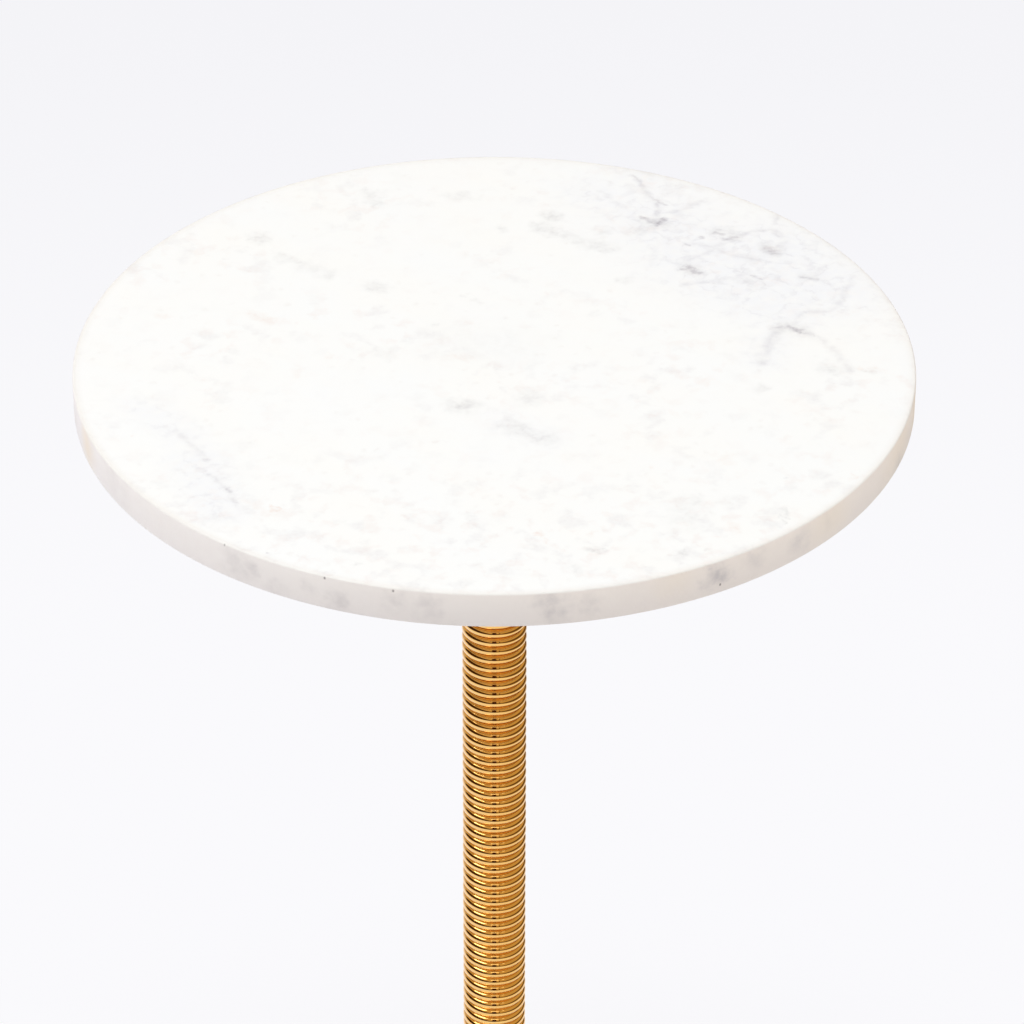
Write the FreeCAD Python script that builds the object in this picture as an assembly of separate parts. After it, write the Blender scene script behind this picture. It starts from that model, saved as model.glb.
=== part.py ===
"""Round accent table: a marble slab on a slim stem of stacked polished rings and a weighted round foot.

Millimetres, +Z up, origin on the floor under the middle of the table.
"""

import FreeCAD, Part
import math
import os

# Overall sizes
table_height = 560.0
top_diameter = 305.0
top_thickness = 13.5
top_edge_radius = 0.8
top_lower_edge_radius = 0.9

# Stem: rings threaded on a tube, at a pitch that lets a whole number of them fill the stem
ring_width = 4.15
ring_pitch_aim = 3.9
ring_face_gap = 0.05
tube_diameter = 16.0
tube_wall = 1.5
tube_clamp_gap = 1.5
slide_clearance = 0.1

# Collars at both ends of the rings, the same turned part used twice
collar_step = 1.75
collar_land = 1.0
collar_cove_radius = 6.0
collar_lip = 2.0
collar_flange_thickness = 3.0

# Plate, gasket and fasteners under the marble
plate_diameter = 200.0
plate_thickness = 4.0
plate_edge_radius = 1.2
gasket_margin = 3.0
gasket_thickness = 1.0
top_screw_count = 4
top_screw_edge_distance = 20.0
top_screw_diameter = 5.0
top_screw_head_diameter = 9.5
top_screw_head_height = 2.75
top_screw_crown_diameter = 5.0
top_screw_dome_rise = 0.45
top_screw_socket = 3.0
top_screw_socket_depth = 1.6
top_washer_diameter = 10.0
top_washer_thickness = 1.0
insert_diameter = 8.0
insert_length = 9.5
insert_end_gap = 0.5
screw_clearance = 0.25
glue_clearance = 0.2
thread_clearance = 0.1

# Foot: a domed casting, hollow beneath, with a boss for the bolt
foot_diameter = 230.0
foot_height = 22.0
foot_rim_height = 10.0
foot_rim_width = 16.0
foot_edge_radius = 6.0
foot_dome_rise = 2.6
foot_wall = 5.0
foot_boss_margin = 7.0
foot_boss_thickness = 8.0
seat_margin = 2.0

# Plug in the tube and the bolt that draws the foot up to it
plug_length = 25.0
bolt_diameter = 8.0
bolt_engagement = 18.0
bolt_flats = 13.0
bolt_head_height = 5.3
bolt_washer_diameter = 30.0
bolt_washer_thickness = 2.0
spring_washer_diameter = 14.8
spring_washer_thickness = 2.0
spring_washer_slit = 1.2
bolt_clearance = 0.5

# Pads that meet the floor
pad_count = 4
pad_diameter = 13.0
pad_thickness = 2.5
pad_edge_radius = 0.8

# Diameters of what passes through, lies round or lines up with what
tube_bore = tube_diameter - 2 * tube_wall
sleeve_bore = tube_diameter + 2 * slide_clearance
bolt_hole = bolt_diameter + 2 * bolt_clearance
screw_hole = top_screw_diameter + 2 * screw_clearance
insert_hole = insert_diameter + 2 * glue_clearance
ring_diameter = sleeve_bore + 2 * ring_width
collar_neck = ring_diameter + 2 * collar_step
collar_flange = collar_neck + 2 * (collar_cove_radius + collar_lip)
gasket_diameter = plate_diameter - 2 * gasket_margin
top_screw_circle = plate_diameter - 2 * top_screw_edge_distance
foot_boss_diameter = bolt_washer_diameter + 2 * foot_boss_margin
pad_circle = foot_diameter - foot_rim_width

# Heights, stacked up from the floor and down from the table's surface
collar_height = collar_flange_thickness + collar_cove_radius + collar_land
foot_bottom = pad_thickness
foot_seat = foot_bottom + foot_height
foot_boss_bottom = foot_seat - foot_boss_thickness
rings_bottom = foot_seat + collar_height
top_bottom = table_height - top_thickness
plate_top = top_bottom - gasket_thickness
plate_bottom = plate_top - plate_thickness
rings_top = plate_bottom - collar_height
tube_bottom = foot_seat + tube_clamp_gap
ring_count = round((rings_top - rings_bottom) / ring_pitch_aim)
ring_pitch = (rings_top - rings_bottom) / ring_count
ring_thickness = ring_pitch - ring_face_gap


def in_section(point):
    """A (radius, height) pair as a point of the XZ plane."""
    return FreeCAD.Vector(point[0], 0, point[1])


def round_to(centre, radius, start, end):
    """An arc of an outline as its middle and end points, angles in degrees from straight outwards."""
    middle = math.radians((start + end) / 2)
    last = math.radians(end)
    return (
        (centre[0] + radius * math.cos(middle), centre[1] + radius * math.sin(middle)),
        (centre[0] + radius * math.cos(last), centre[1] + radius * math.sin(last)),
    )


def bowed_to(start, end, rise):
    """An arc of an outline whose middle stands off the straight line by the rise, away from the metal."""
    run = (end[0] - start[0], end[1] - start[1])
    length = math.hypot(*run)
    middle = (
        (start[0] + end[0]) / 2 + rise * run[1] / length,
        (start[1] + end[1]) / 2 - rise * run[0] / length,
    )
    return (middle, end)


def turned(start, *steps):
    """Turn a closed outline about Z. A step is a corner, or the middle and end points of an arc."""
    edges = []
    here = in_section(start)
    for step in steps + (start,):
        is_arc = isinstance(step[0], tuple)
        there = in_section(step[1] if is_arc else step)
        curve = Part.Arc(here, in_section(step[0]), there) if is_arc else Part.LineSegment(here, there)
        edges.append(curve.toShape())
        here = there
    face = Part.Face(Part.Wire(edges))
    return face.revolve(FreeCAD.Vector(0, 0, 0), FreeCAD.Vector(0, 0, 1), 360)


def washer(outer, inner, bottom, thickness):
    """A plain flat ring."""
    top = bottom + thickness
    return turned((inner / 2, bottom), (outer / 2, bottom), (outer / 2, top), (inner / 2, top))


def rod(diameter, bottom, height):
    """A plain round bar that stands on the given height."""
    return Part.makeCylinder(diameter / 2, height, FreeCAD.Vector(0, 0, bottom))


def hexagon(flats, bottom, height):
    """A hexagonal prism, sized across its flats."""
    reach = flats / math.sqrt(3)
    corners = []
    for k in range(7):
        angle = math.radians(60 * k)
        corners.append(FreeCAD.Vector(reach * math.cos(angle), reach * math.sin(angle), bottom))
    return Part.Face(Part.makePolygon(corners)).extrude(FreeCAD.Vector(0, 0, height))


def around(shape, circle, count):
    """Copies of a shape, evenly spaced on a circle, the first half a step from +X."""
    copies = []
    for k in range(count):
        copy = shape.copy()
        copy.translate(FreeCAD.Vector(circle / 2, 0, 0))
        copy.rotate(FreeCAD.Vector(0, 0, 0), FreeCAD.Vector(0, 0, 1), 360 * (k + 0.5) / count)
        copies.append(copy)
    return copies


def marble_top():
    """The slab: eased edges above and below, and blind holes for the threaded inserts."""
    edge = top_diameter / 2
    low = top_lower_edge_radius
    high = top_edge_radius
    slab = turned(
        (0, top_bottom),
        (edge - low, top_bottom),
        round_to((edge - low, top_bottom + low), low, -90, 0),
        (edge, table_height - high),
        round_to((edge - high, table_height - high), high, 0, 90),
        (0, table_height),
    )
    hole = rod(insert_hole, top_bottom, insert_length + insert_end_gap)
    return slab.cut(around(hole, top_screw_circle, top_screw_count))


def thread_inserts():
    """Brass sleeves glued flush into the marble."""
    sleeve = washer(
        insert_diameter, top_screw_diameter + 2 * thread_clearance, top_bottom, insert_length
    )
    return Part.makeCompound(around(sleeve, top_screw_circle, top_screw_count))


def top_gasket():
    """Rubber sheet between plate and stone, pierced for the screws."""
    sheet = rod(gasket_diameter, plate_top, gasket_thickness)
    hole = rod(screw_hole, plate_top, gasket_thickness)
    return sheet.cut(around(hole, top_screw_circle, top_screw_count))


def top_plate():
    """Steel disc with a softened lower edge, a hole for the tube and a circle of screw holes."""
    edge = plate_diameter / 2
    disc = turned(
        (sleeve_bore / 2, plate_bottom),
        (edge - plate_edge_radius, plate_bottom),
        round_to((edge - plate_edge_radius, plate_bottom + plate_edge_radius), plate_edge_radius, -90, 0),
        (edge, plate_top),
        (sleeve_bore / 2, plate_top),
    )
    hole = rod(screw_hole, plate_bottom, plate_thickness)
    return disc.cut(around(hole, top_screw_circle, top_screw_count))


def plate_washers():
    """Flat washers under the screw heads."""
    bottom = plate_bottom - top_washer_thickness
    flat = washer(top_washer_diameter, screw_hole, bottom, top_washer_thickness)
    return Part.makeCompound(around(flat, top_screw_circle, top_screw_count))


def plate_screws():
    """Button-head screws driven upwards, with a hexagon socket in the domed head."""
    seat = plate_bottom - top_washer_thickness
    crown = seat - top_screw_head_height
    flat = (top_screw_crown_diameter / 2, crown)
    tip = top_bottom + insert_length
    screw = turned(
        (0, crown),
        flat,
        bowed_to(flat, (top_screw_head_diameter / 2, seat), top_screw_dome_rise),
        (top_screw_diameter / 2, seat),
        (top_screw_diameter / 2, tip),
        (0, tip),
    )
    socket = hexagon(top_screw_socket, crown, top_screw_socket_depth)
    return Part.makeCompound(around(screw.cut(socket), top_screw_circle, top_screw_count))


def core_tube():
    """The tube that carries the load, from the plate's upper face down into the lower collar."""
    return washer(tube_diameter, tube_bore, tube_bottom, plate_top - tube_bottom)


def collar():
    """A turned collar standing on its flange: rounded lip, hollow cove and a short straight neck."""
    neck = collar_neck / 2
    foot = neck + collar_cove_radius
    lip = collar_flange_thickness / 2
    edge = collar_flange / 2 - lip
    shoulder = collar_flange_thickness + collar_cove_radius
    return turned(
        (sleeve_bore / 2, 0),
        (edge, 0),
        round_to((edge, lip), lip, -90, 90),
        (foot, collar_flange_thickness),
        round_to((foot, shoulder), collar_cove_radius, -90, -180),
        (neck, collar_height),
        (sleeve_bore / 2, collar_height),
    )


def lower_collar():
    """The collar on the foot, with its neck up."""
    piece = collar()
    piece.translate(FreeCAD.Vector(0, 0, foot_seat))
    return piece


def upper_collar():
    """The collar under the plate, with its neck down."""
    piece = collar()
    piece.rotate(FreeCAD.Vector(0, 0, 0), FreeCAD.Vector(1, 0, 0), 180)
    piece.translate(FreeCAD.Vector(0, 0, plate_bottom))
    return piece


def stem_rings():
    """The stack of rings: each is flat where it lies on the next and fully rounded outside."""
    rim = ring_thickness / 2
    flat = ring_diameter / 2 - rim
    bottom = rings_bottom + ring_face_gap / 2
    ring = turned(
        (sleeve_bore / 2, bottom),
        (flat, bottom),
        round_to((flat, bottom + rim), rim, -90, 90),
        (sleeve_bore / 2, bottom + ring_thickness),
    )
    stack = []
    for k in range(ring_count):
        copy = ring.copy()
        copy.translate(FreeCAD.Vector(0, 0, k * ring_pitch))
        stack.append(copy)
    return Part.makeCompound(stack)


def tube_plug():
    """Threaded plug welded into the lower end of the tube."""
    return washer(
        tube_bore - 2 * thread_clearance, bolt_diameter + 2 * thread_clearance, tube_bottom, plug_length
    )


def base_casting():
    """The foot: rounded rim, gently domed top, flat seat for the collar, hollow and boss beneath."""
    edge = foot_diameter / 2
    inside = edge - foot_rim_width
    rim_top = foot_bottom + foot_rim_height
    seat = collar_flange / 2 + seat_margin
    dome_start = (edge - foot_edge_radius, rim_top)
    return turned(
        (bolt_hole / 2, foot_boss_bottom),
        (foot_boss_diameter / 2, foot_boss_bottom),
        (foot_boss_diameter / 2, foot_seat - foot_wall),
        (inside, rim_top - foot_wall),
        (inside, foot_bottom),
        (edge, foot_bottom),
        (edge, rim_top - foot_edge_radius),
        round_to((edge - foot_edge_radius, rim_top - foot_edge_radius), foot_edge_radius, 0, 90),
        bowed_to(dome_start, (seat, foot_seat), foot_dome_rise),
        (bolt_hole / 2, foot_seat),
    )


def base_washer():
    """Wide flat washer under the boss."""
    bottom = foot_boss_bottom - bolt_washer_thickness
    return washer(bolt_washer_diameter, bolt_hole, bottom, bolt_washer_thickness)


def spring_washer():
    """Split lock washer."""
    bottom = foot_boss_bottom - bolt_washer_thickness - spring_washer_thickness
    whole = washer(spring_washer_diameter, bolt_hole, bottom, spring_washer_thickness)
    slit = Part.makeBox(
        spring_washer_diameter,
        spring_washer_slit,
        spring_washer_thickness,
        FreeCAD.Vector(0, -spring_washer_slit / 2, bottom),
    )
    return whole.cut(slit)


def base_bolt():
    """Hexagon bolt with a chamfered head, screwed up into the plug."""
    seat = foot_boss_bottom - bolt_washer_thickness - spring_washer_thickness
    crown = seat - bolt_head_height
    corner = bolt_flats / math.sqrt(3)
    chamfer = corner - bolt_flats / 2
    blank = turned(
        (0, crown), (bolt_flats / 2, crown), (corner, crown + chamfer), (corner, seat), (0, seat)
    )
    head = hexagon(bolt_flats, crown, bolt_head_height).common(blank)
    shank = rod(bolt_diameter, seat, tube_bottom + bolt_engagement - seat)
    return head.fuse(shank)


def base_pads():
    """Rubber pads glued under the rim of the foot."""
    edge = pad_diameter / 2
    pad = turned(
        (0, 0),
        (edge - pad_edge_radius, 0),
        round_to((edge - pad_edge_radius, pad_edge_radius), pad_edge_radius, -90, 0),
        (edge, pad_thickness),
        (0, pad_thickness),
    )
    return Part.makeCompound(around(pad, pad_circle, pad_count))


pieces = {
    "marble_top": marble_top(),
    "thread_inserts": thread_inserts(),
    "top_gasket": top_gasket(),
    "top_plate": top_plate(),
    "plate_washers": plate_washers(),
    "plate_screws": plate_screws(),
    "core_tube": core_tube(),
    "upper_collar": upper_collar(),
    "stem_rings": stem_rings(),
    "lower_collar": lower_collar(),
    "tube_plug": tube_plug(),
    "base_casting": base_casting(),
    "base_washer": base_washer(),
    "spring_washer": spring_washer(),
    "base_bolt": base_bolt(),
    "base_pads": base_pads(),
}

os.makedirs("parts", exist_ok=True)
for name, shape in pieces.items():
    shape.exportStep(f"parts/{name}.step")
print(f"{ring_count} rings at a pitch of {ring_pitch:.3f} mm")
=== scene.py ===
import math
import random

import bpy
from mathutils import Matrix, Quaternion, Vector


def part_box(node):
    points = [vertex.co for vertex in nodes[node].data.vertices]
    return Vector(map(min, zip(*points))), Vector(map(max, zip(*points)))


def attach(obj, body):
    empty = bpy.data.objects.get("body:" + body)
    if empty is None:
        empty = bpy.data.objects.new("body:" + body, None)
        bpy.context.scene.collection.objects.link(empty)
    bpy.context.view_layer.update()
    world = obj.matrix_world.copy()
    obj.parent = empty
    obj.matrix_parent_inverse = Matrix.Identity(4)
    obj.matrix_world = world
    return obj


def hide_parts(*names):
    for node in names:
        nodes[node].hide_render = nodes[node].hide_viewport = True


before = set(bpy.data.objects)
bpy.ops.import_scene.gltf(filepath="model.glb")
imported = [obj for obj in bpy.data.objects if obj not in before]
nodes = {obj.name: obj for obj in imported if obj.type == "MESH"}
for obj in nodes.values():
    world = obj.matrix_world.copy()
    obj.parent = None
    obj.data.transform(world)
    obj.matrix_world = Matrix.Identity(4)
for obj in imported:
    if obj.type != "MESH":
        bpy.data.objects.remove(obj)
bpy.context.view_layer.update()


# The foot is a low domed disc of cast iron, hollow beneath so that it stands on its rim.
# It is turned, polished and plated in bright gold, with a flat seat for the collar
# and a thick boss below that seat for the bolt.
mm = 0.001
foot_radius = 115.0
foot_bottom = 2.5
foot_rim_top = 12.5
foot_seat_height = 24.5
foot_seat_radius = 24.0
foot_rim_width = 16.0
foot_dome_rise = 2.6
foot_wall = 5.0
foot_boss_radius = 22.0
foot_boss_bottom = 16.5
foot_bolt_hole = 4.5
foot_edge_round = 6.0
foot_edge_margin = 0.01
foot_small_round = 0.8
foot_rim_root_round = 2.0
foot_boss_root_round = 1.5
foot_seat_round = 1.2
foot_dome_steps = 24
foot_turns = 192
same_place = 0.001
near_corner = 0.01
smooth_below = math.radians(35)


def bow(start, end, rise, steps):
    """Places along a shallow arc that stands off the line from start to end by the rise."""
    run = (end[0] - start[0], end[1] - start[1])
    chord = math.hypot(*run)
    radius = (chord * chord / 4 + rise * rise) / (2 * rise)
    half = math.asin(chord / 2 / radius)
    out = (-run[1] / chord, run[0] / chord)
    if out[1] < 0:
        out = (-out[0], -out[1])
    places = []
    for k in range(1, steps):
        turn = half * (2 * k / steps - 1)
        along = chord / 2 + radius * math.sin(turn)
        lift = radius * math.cos(turn) - (radius - rise)
        places.append((
            start[0] + run[0] / chord * along + out[0] * lift,
            start[1] + run[1] / chord * along + out[1] * lift,
        ))
    return places


def pick(piece, wanted):
    """In edit mode, select only the vertices whose place in millimetres is wanted."""
    bpy.ops.mesh.select_all(action="DESELECT")
    bpy.ops.object.mode_set(mode="OBJECT")
    for vertex in piece.data.vertices:
        vertex.select = wanted(vertex.co / mm)
    bpy.ops.object.mode_set(mode="EDIT")
    bpy.ops.mesh.select_mode(type="VERT")


def round_corner(piece, corner, size, cuts):
    """Round one corner of a drawn section."""
    target = Vector((corner[0], 0, corner[1]))
    pick(piece, lambda place: (place - target).length < near_corner)
    bpy.ops.mesh.bevel(offset=size * mm, offset_type="OFFSET", segments=cuts, affect="VERTICES")


def turned(name, outline, rounds, turns):
    """Drag one vertex along an outline of (radius, height), round its corners and spin it."""
    bpy.ops.object.select_all(action="DESELECT")
    start = Vector((outline[0][0], 0, outline[0][1])) * mm
    bpy.ops.mesh.primitive_plane_add(size=mm, location=start)
    piece = bpy.context.object
    piece.name = name
    bpy.ops.object.transform_apply(location=True, rotation=True, scale=True)
    bpy.ops.object.mode_set(mode="EDIT")
    bpy.ops.mesh.select_all(action="SELECT")
    bpy.ops.mesh.merge(type="CENTER")
    here = outline[0]
    for there in outline[1:]:
        step = Vector((there[0] - here[0], 0, there[1] - here[1])) * mm
        bpy.ops.mesh.extrude_region_move(TRANSFORM_OT_translate={"value": step})
        here = there
    ends = [Vector((end[0], 0, end[1])) for end in (outline[0], outline[-1])]
    pick(piece, lambda place: min((place - end).length for end in ends) < same_place)
    bpy.ops.mesh.edge_face_add()
    for corner, size, cuts in rounds:
        round_corner(piece, corner, size, cuts)
    bpy.ops.mesh.select_all(action="SELECT")
    bpy.ops.mesh.remove_doubles(threshold=same_place * mm)
    bpy.ops.mesh.spin(steps=turns, angle=2 * math.pi, center=(0, 0, 0), axis=(0, 0, 1))
    bpy.ops.mesh.select_all(action="SELECT")
    bpy.ops.mesh.remove_doubles(threshold=same_place * mm)
    bpy.ops.mesh.normals_make_consistent(inside=False)
    bpy.ops.object.mode_set(mode="OBJECT")
    bpy.ops.object.shade_smooth_by_angle(angle=smooth_below)
    return piece


def feed(tree, node, sockets):
    """Fill or link a node's inputs."""
    for key, value in dict(sockets).items():
        if isinstance(value, bpy.types.NodeSocket):
            tree.links.new(value, node.inputs[key])
        else:
            node.inputs[key].default_value = value


def add_node(tree, kind, sockets=(), **settings):
    """Add a node with its settings and inputs."""
    made = tree.nodes.new(kind)
    for key, value in settings.items():
        setattr(made, key, value)
    feed(tree, made, sockets)
    return made


def new_finish(name):
    """A material with its shader, and the place on the piece in metres."""
    finish = bpy.data.materials.new(name)
    finish.use_nodes = True
    tree = finish.node_tree
    shader = tree.nodes["Principled BSDF"]
    place = add_node(tree, "ShaderNodeTexCoord").outputs["Object"]
    return finish, tree, shader, place


def vector_node(tree, operation, first, second=(0, 0, 0), result=0):
    """One sum of two places or directions."""
    sockets = {0: first, 1: second}
    return add_node(tree, "ShaderNodeVectorMath", sockets, operation=operation).outputs[result]


def radius_of(tree, place):
    """How far a place lies from the upright middle line."""
    flat = vector_node(tree, "MULTIPLY", place, (1, 1, 0))
    return vector_node(tree, "LENGTH", flat, result="Value")


def noise(tree, place, scale, detail, result=0):
    """A cloudy pattern, as one value or as three in a colour."""
    sockets = {"Vector": place, "Scale": scale, "Detail": detail}
    return add_node(tree, "ShaderNodeTexNoise", sockets).outputs[result]


def spread(tree, cloud, low=0.0, high=1.0):
    """Stretch the middle of a cloudy pattern, where nearly all of it lies, to another range."""
    middle_low = 0.3
    middle_high = 0.7
    sockets = {0: cloud, 1: middle_low, 2: middle_high, 3: low, 4: high}
    return add_node(tree, "ShaderNodeMapRange", sockets).outputs[0]


def tint(tree, amount, first, second):
    """Go from one colour, plain or patterned, to another by a 0 to 1 pattern."""
    sockets = {0: amount}
    for key, colour in ((6, first), (7, second)):
        patterned = isinstance(colour, bpy.types.NodeSocket)
        sockets[key] = colour if patterned else (*colour, 1)
    return add_node(tree, "ShaderNodeMix", sockets, data_type="RGBA").outputs[2]


def bumped(tree, height, depth, strength=1.0, under=None):
    """Dent a surface by a pattern, to a depth in millimetres, on top of other dents."""
    sockets = {"Strength": strength, "Distance": depth * mm, "Height": height}
    if under is not None:
        sockets["Normal"] = under
    return add_node(tree, "ShaderNodeBump", sockets).outputs[0]


def plated_gold(name, light, deep, gloss, wave_scale, wave_depth, line_depth, crevice_shade=None):
    """Gold plate under clear lacquer, with a cloudy tone, slow ripples and polishing lines.

    A crevice shade is (inner radius, outer radius, colour) of a band on the inner part of the
    rounded edge, painted darker as painted shade where neighbouring rings meet.
    """
    finish, tree, shader, place = new_finish(name)
    cloud = noise(tree, place, scale=90, detail=3)
    smear = noise(tree, place, scale=420, detail=4)
    ripple = noise(tree, place, wave_scale, detail=1)
    radius = radius_of(tree, place)
    height = add_node(tree, "ShaderNodeSeparateXYZ", {0: place}).outputs[2]
    round_place = add_node(tree, "ShaderNodeCombineXYZ", {0: radius, 2: height}).outputs[0]
    lines = noise(tree, round_place, scale=5200, detail=2)
    waves = bumped(tree, ripple, wave_depth)
    colour = tint(tree, cloud, light, deep)
    # A band on the rounded edge where rings meet is painted darker: painted shade in the crevice.
    if crevice_shade is not None:
        inner, outer, crevice_shade_colour = crevice_shade
        sockets = {0: radius, 1: inner * mm, 2: outer * mm, 3: 1, 4: 0}
        inside = add_node(tree, "ShaderNodeMapRange", sockets).outputs[0]
        colour = tint(tree, inside, colour, crevice_shade_colour)
    feed(tree, shader, {
        "Base Color": colour,
        "Metallic": 1.0,
        "Roughness": spread(tree, smear, *gloss),
        "Normal": bumped(tree, lines, line_depth, under=waves),
        "Coat Weight": 0.7,
        "Coat Roughness": 0.03,
        "Coat IOR": 1.5,
    })
    return finish


def dress(piece, finish):
    """Give a new piece its finish, and let it stand in the frame."""
    piece.data.materials.clear()
    piece.data.materials.append(finish)
    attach(piece, "root")


rim_inside = foot_radius - foot_rim_width
rim_root = (rim_inside, foot_rim_top - foot_wall)
boss_root = (foot_boss_radius, foot_seat_height - foot_wall)
boss_edge = (foot_boss_radius, foot_boss_bottom)
dome_start = (foot_radius - foot_edge_round, foot_rim_top)
dome_end = (foot_seat_radius, foot_seat_height)
foot_outline = [
    (foot_bolt_hole, foot_boss_bottom),
    boss_edge,
    boss_root,
    rim_root,
    (rim_inside, foot_bottom),
    (foot_radius, foot_bottom),
    (foot_radius, foot_rim_top),
    dome_start,
    *bow(dome_start, dome_end, foot_dome_rise, foot_dome_steps),
    dome_end,
    (foot_bolt_hole, foot_seat_height),
]
foot_rounds = [
    ((foot_radius, foot_rim_top), foot_edge_round - foot_edge_margin, 10),
    ((foot_radius, foot_bottom), foot_small_round, 3),
    ((rim_inside, foot_bottom), foot_small_round, 3),
    (rim_root, foot_rim_root_round, 4),
    (boss_root, foot_boss_root_round, 4),
    (boss_edge, foot_small_round, 3),
    (dome_end, foot_seat_round, 3),
]
foot = turned("foot", foot_outline, foot_rounds, foot_turns)
foot_gold = plated_gold(
    "foot_gold",
    light=(0.94, 0.58, 0.19),
    deep=(0.90, 0.53, 0.16),
    gloss=(0.08, 0.15),
    wave_scale=34,
    wave_depth=0.010,
    line_depth=0.0006,
)
dress(foot, foot_gold)
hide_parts("base_casting")


# Four black rubber pads are glued under the rim and keep the metal off the floor.
# They are moulded discs with a softened lower edge and a dull, slightly dusty face.
def dusty_rubber(name):
    """Moulded black rubber with a fine grain and greyish wear."""
    finish, tree, shader, place = new_finish(name)
    dust = noise(tree, place, scale=160, detail=5)
    grain = noise(tree, place, scale=2600, detail=2)
    feed(tree, shader, {
        "Base Color": tint(tree, dust, (0.018, 0.018, 0.020), (0.045, 0.044, 0.043)),
        "Roughness": spread(tree, dust, 0.62, 0.82),
        "Normal": bumped(tree, grain, depth=0.03, strength=0.5),
    })
    return finish


def redress(node, finish):
    """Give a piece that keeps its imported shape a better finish."""
    nodes[node].data.materials.clear()
    nodes[node].data.materials.append(finish)


redress("base_pads", dusty_rubber("pad_rubber"))


# A plain drawn steel tube carries the load inside the rings. It is welded into the plate above,
# and a threaded steel plug is welded into its lower end for the bolt.
def drawn_metal(name, light, dark, gloss):
    """Bare metal with long drawing lines, small stains and a broken shine."""
    finish, tree, shader, place = new_finish(name)
    drawn_out = vector_node(tree, "MULTIPLY", place, (1, 1, 0.04))
    streak = noise(tree, drawn_out, scale=1400, detail=3)
    stain = noise(tree, place, scale=130, detail=5)
    feed(tree, shader, {
        "Base Color": tint(tree, stain, light, dark),
        "Metallic": 1.0,
        "Roughness": spread(tree, streak, *gloss),
        "Normal": bumped(tree, streak, depth=0.02, strength=0.3),
    })
    return finish


tube_steel = drawn_metal(
    "tube_steel", light=(0.40, 0.40, 0.41), dark=(0.24, 0.23, 0.23), gloss=(0.38, 0.55)
)
redress("core_tube", tube_steel)
redress("tube_plug", tube_steel)


# A hexagon bolt with a wide flat washer and a split spring washer draws the foot up to the plug.
# All three are zinc-plated steel with the faint patches of a barrel-plated finish.
def zinc_plate(name):
    """Bright zinc: small pale and grey patches with an even, soft shine."""
    finish, tree, shader, place = new_finish(name)
    cells = add_node(tree, "ShaderNodeTexVoronoi", {"Vector": place, "Scale": 480}).outputs
    patch = add_node(tree, "ShaderNodeRGBToBW", {0: cells["Color"]}).outputs[0]
    haze = noise(tree, place, scale=300, detail=4)
    feed(tree, shader, {
        "Base Color": tint(tree, patch, (0.70, 0.71, 0.72), (0.56, 0.57, 0.60)),
        "Metallic": 1.0,
        "Roughness": spread(tree, haze, 0.24, 0.40),
        "Normal": bumped(tree, haze, depth=0.02, strength=0.2),
    })
    return finish


bolt_zinc = zinc_plate("bolt_zinc")
for node in ("base_bolt", "base_washer", "spring_washer"):
    redress(node, bolt_zinc)


# Two equal collars close the ends of the ring stack. Each is turned from bar with a rounded flange,
# a hollow cove and a short neck, then polished and plated like the rings.
collar_bore = 8.1
collar_neck = 14.0
collar_cove = 6.0
collar_flange = 22.0
collar_flange_height = 3.0
collar_flange_round = 1.48
collar_neck_round = 0.4
collar_height = 10.0
collar_turns = 96
collar_outline = [
    (collar_bore, 0),
    (collar_flange, 0),
    (collar_flange, collar_flange_height),
    (collar_neck, collar_flange_height),
    (collar_neck, collar_height),
    (collar_bore, collar_height),
]
collar_rounds = [
    ((collar_flange, 0), collar_flange_round, 6),
    ((collar_flange, collar_flange_height), collar_flange_round, 6),
    ((collar_neck, collar_flange_height), collar_cove, 12),
    ((collar_neck, collar_height), collar_neck_round, 3),
]
lower_collar = turned("foot_collar", collar_outline, collar_rounds, collar_turns)
bpy.ops.object.duplicate()
upper_collar = bpy.context.object
upper_collar.name = "plate_collar"
upper_collar.rotation_euler = (math.pi, 0, 0)
upper_collar.location = (0, 0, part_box("upper_collar")[1].z)
lower_collar.location = (0, 0, foot_seat_height * mm)
bpy.ops.object.select_all(action="DESELECT")
lower_collar.select_set(True)
upper_collar.select_set(True)
bpy.ops.object.transform_apply(location=True, rotation=True, scale=True)
collar_gold = plated_gold(
    "collar_gold",
    light=(0.95, 0.59, 0.195),
    deep=(0.91, 0.54, 0.16),
    gloss=(0.05, 0.10),
    wave_scale=60,
    wave_depth=0.004,
    line_depth=0.0005,
)
dress(lower_collar, collar_gold)
dress(upper_collar, collar_gold)
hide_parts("lower_collar")
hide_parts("upper_collar")


# The stem is a close stack of round-edged rings threaded on the tube, each turned, polished and
# plated alone. They differ by a few hundredths of a millimetre, so no two lie quite alike
# and the reflections waver.
ring_count = 127
ring_bore = 8.1
ring_radius = 12.25
ring_stack_bottom = 34.5
ring_stack_top = 531.5
ring_gap = 0.05
ring_edge_margin = 0.004
ring_rim_cuts = 6
ring_turns = 48
ring_seed = 7
ring_drift_kept = 0.5
ring_drift_step = 0.004
ring_thickness_luck = 0.010
ring_lean = math.radians(0.18)
ring_offset = 0.05
ring_pitch = (ring_stack_top - ring_stack_bottom) / ring_count
ring_half = (ring_pitch - ring_gap) / 2
ring_outline = [
    (ring_bore, -ring_half),
    (ring_radius, -ring_half),
    (ring_radius, ring_half),
    (ring_bore, ring_half),
]
ring_rounds = [
    ((ring_radius, -ring_half), ring_half - ring_edge_margin, ring_rim_cuts),
    ((ring_radius, ring_half), ring_half - ring_edge_margin, ring_rim_cuts),
]
first_ring = turned("stem_ring", ring_outline, ring_rounds, ring_turns)
ring_luck = random.Random(ring_seed)


def within(reach):
    """A random amount up to the reach either way."""
    return ring_luck.uniform(-reach, reach)


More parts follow.
